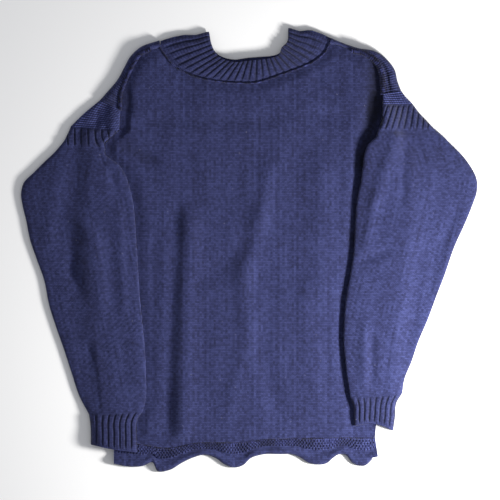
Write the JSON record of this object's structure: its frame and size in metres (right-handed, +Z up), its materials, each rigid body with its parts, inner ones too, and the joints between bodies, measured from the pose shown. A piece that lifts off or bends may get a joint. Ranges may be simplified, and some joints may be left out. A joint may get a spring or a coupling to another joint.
{
  "type": "fisherman sweater",
  "caption": "Navy wool fisherman sweater laid flat, front up, sleeves folded down along the body, with a ribbed stand collar, ridged shoulder straps, ribbed cuffs and a moss-stitch hem.",
  "frame": {"origin": "middle of the outline, on the surface that the sweater lies on", "axes": "+Z up from the surface, +Y towards the neck, +X towards the right as seen from above"},
  "size_m": [0.752, 0.7308, 0.0197],
  "materials": {
    "plain": "matt worsted wool, plain stocking stitch, navy",
    "moss": "matt worsted wool, moss stitch, navy",
    "ribbed": "matt worsted wool, two by two rib, navy",
    "ridged": "matt worsted wool, garter ridges, navy",
    "cord": "matt worsted wool, raised cord, navy"
  },
  "bodies": {
    "root": {"front_panel": "plain", "back_panel": "plain", "front_hem_band": "moss", "back_hem_band": "moss", "front_hem_welt": "moss", "back_hem_welt": "moss", "neckband": "ribbed", "neck_seam_cord": "cord", "left_shoulder_strap": "ridged", "right_shoulder_strap": "ridged", "left_shoulder_rope": "cord", "right_shoulder_rope": "cord", "left_sleeve_head": "ridged", "right_sleeve_head": "ridged", "left_sleeve_rib": "ribbed", "right_sleeve_rib": "ribbed", "left_sleeve": "plain", "right_sleeve": "plain", "left_cuff": "ribbed", "right_cuff": "ribbed"}
  },
  "joints": []
}
